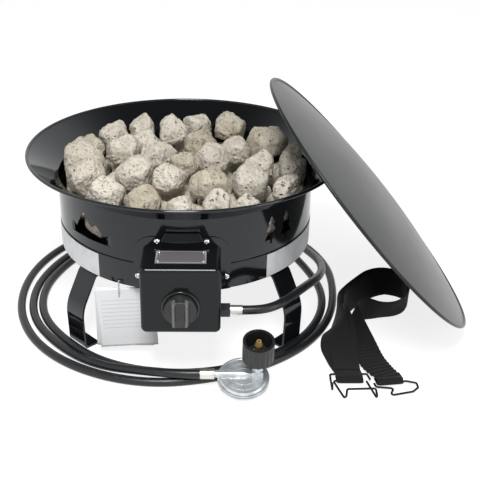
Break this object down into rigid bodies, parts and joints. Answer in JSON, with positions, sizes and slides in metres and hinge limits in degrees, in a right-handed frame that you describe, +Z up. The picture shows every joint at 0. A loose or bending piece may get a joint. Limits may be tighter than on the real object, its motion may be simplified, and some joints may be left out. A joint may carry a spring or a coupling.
{
  "type": "portable gas fire bowl",
  "caption": "Round black gas fire bowl on legs, filled with lava rocks, with a control box, a coiled hose and regulator, a leaning lid and carrying straps.",
  "frame": {"origin": "on the floor, under the bowl's axis", "axes": "+Z up, the control box towards -Y, the leaning lid towards +X"},
  "size_m": [0.7284, 0.5724, 0.3629],
  "materials": {
    "black_enamel": "gloss black enamel",
    "lid_enamel": "satin grey-black enamel",
    "box_enamel": "gloss black enamel",
    "zinc_steel": "zinc plated",
    "bright_screw": "bright",
    "plate_aluminium": "brushed",
    "brass_fitting": "machined",
    "dark_fitting": "dark passivated",
    "ferrule_steel": "satin",
    "hose_rubber": "matte black",
    "seal_rubber": "matte black",
    "regulator_casting": "grey casting",
    "knob_plastic": "satin black",
    "bezel_plastic": "gloss black",
    "label_foil": "blank silver foil",
    "strap_webbing": "black woven webbing",
    "hook_wire": "black wire",
    "tag_card": "white card",
    "tie_steel": "bead chain",
    "lava_stone": "rough porous stone"
  },
  "bodies": {
    "bowl": {"upper_shell": "black_enamel", "base_pan": "black_enamel", "fire_pan": "black_enamel", "box_bracket": "black_enamel", "leg_front_left": "black_enamel", "leg_front_right": "black_enamel", "leg_rear_left": "black_enamel", "leg_rear_right": "black_enamel", "control_box": "box_enamel", "burner_ring": "zinc_steel", "mixer_tube": "zinc_steel", "burner_locknut": "zinc_steel", "pan_spacers": "zinc_steel", "stem_spring": "zinc_steel", "regulator_spring": "zinc_steel", "leg_nuts": "zinc_steel", "box_screws": "bright_screw", "leg_bolts": "bright_screw", "nameplate_rivets": "bright_screw", "nameplate": "plate_aluminium", "valve_body": "brass_fitting", "orifice": "brass_fitting", "inlet_pipe": "brass_fitting", "inlet_nipple": "brass_fitting", "outlet_barb": "brass_fitting", "hose_nut": "dark_fitting", "inlet_ferrule": "ferrule_steel", "regulator_ferrule": "ferrule_steel", "gas_hose": "hose_rubber", "nipple_seal": "seal_rubber", "regulator_diaphragm": "seal_rubber", "regulator_base": "regulator_casting", "regulator_cover": "regulator_casting", "knob_bezel": "bezel_plastic", "label_left": "label_foil", "label_right": "label_foil", "tag_tie": "tie_steel", "lava_rocks_top": "lava_stone", "lava_rocks_lower": "lava_stone"},
    "push_stem": {"stem_collar": "zinc_steel"},
    "control_knob": {"knob": "knob_plastic", "valve_stem": "zinc_steel"},
    "cylinder_nut": {"coupling_nut": "knob_plastic"},
    "cover_lid": {"lid": "lid_enamel"},
    "carry_straps": {"strap_left": "strap_webbing", "strap_loop": "strap_webbing", "strap_right": "strap_webbing"},
    "right_hook": {"hook_right": "hook_wire"},
    "front_hook": {"hook_front": "hook_wire"},
    "left_hook": {"hook_left": "hook_wire"},
    "tag_cards": {"hang_tag": "tag_card", "tag_back_sheet": "tag_card"}
  },
  "joints": [
    {"name": "knob_push", "type": "slide", "parent": "bowl", "child": "push_stem", "axis": [0, 1, 0], "range_m": [0, 0.003], "stiffness_N_per_m": 500, "springref_m": -0.002, "deforming": ["stem_spring"]},
    {"name": "knob_turn", "type": "hinge", "parent": "push_stem", "child": "control_knob", "pos_m": [0, -0.2735, 0.131], "axis": [0, -1, 0], "range_deg": [0, 210]},
    {"name": "nut_spin", "type": "hinge", "parent": "bowl", "child": "cylinder_nut", "pos_m": [0.1056, -0.26995, 0.07001], "axis": [0, -0.225, 0.9744], "continuous": true},
    {"name": "lid_lift", "type": "slide", "parent": "bowl", "child": "cover_lid", "axis": [0, 0, 1], "range_m": [0, 0.3]},
    {"name": "strap_pull", "type": "slide", "parent": "bowl", "child": "carry_straps", "axis": [0, -1, 0], "range_m": [0, 0.2]},
    {"name": "right_hook_fold", "type": "hinge", "parent": "carry_straps", "child": "right_hook", "pos_m": [0.295, -0.2536, 0.0042], "axis": [-0.9925, -0.1219, 0], "range_deg": [0, 60]},
    {"name": "front_hook_fold", "type": "hinge", "parent": "carry_straps", "child": "front_hook", "pos_m": [0.2385, -0.25, 0.0042], "axis": [-0.9998, -0.0175, 0], "range_deg": [0, 60]},
    {"name": "left_hook_fold", "type": "hinge", "parent": "carry_straps", "child": "left_hook", "pos_m": [0.23822, -0.234, 0.0042], "axis": [-0.9998, -0.0175, 0], "range_deg": [0, 45]},
    {"name": "tag_swing", "type": "hinge", "parent": "bowl", "child": "tag_cards", "pos_m": [-0.091, -0.177, 0.1015], "axis": [0, 1, 0], "range_deg": [0, 20]}
  ]
}
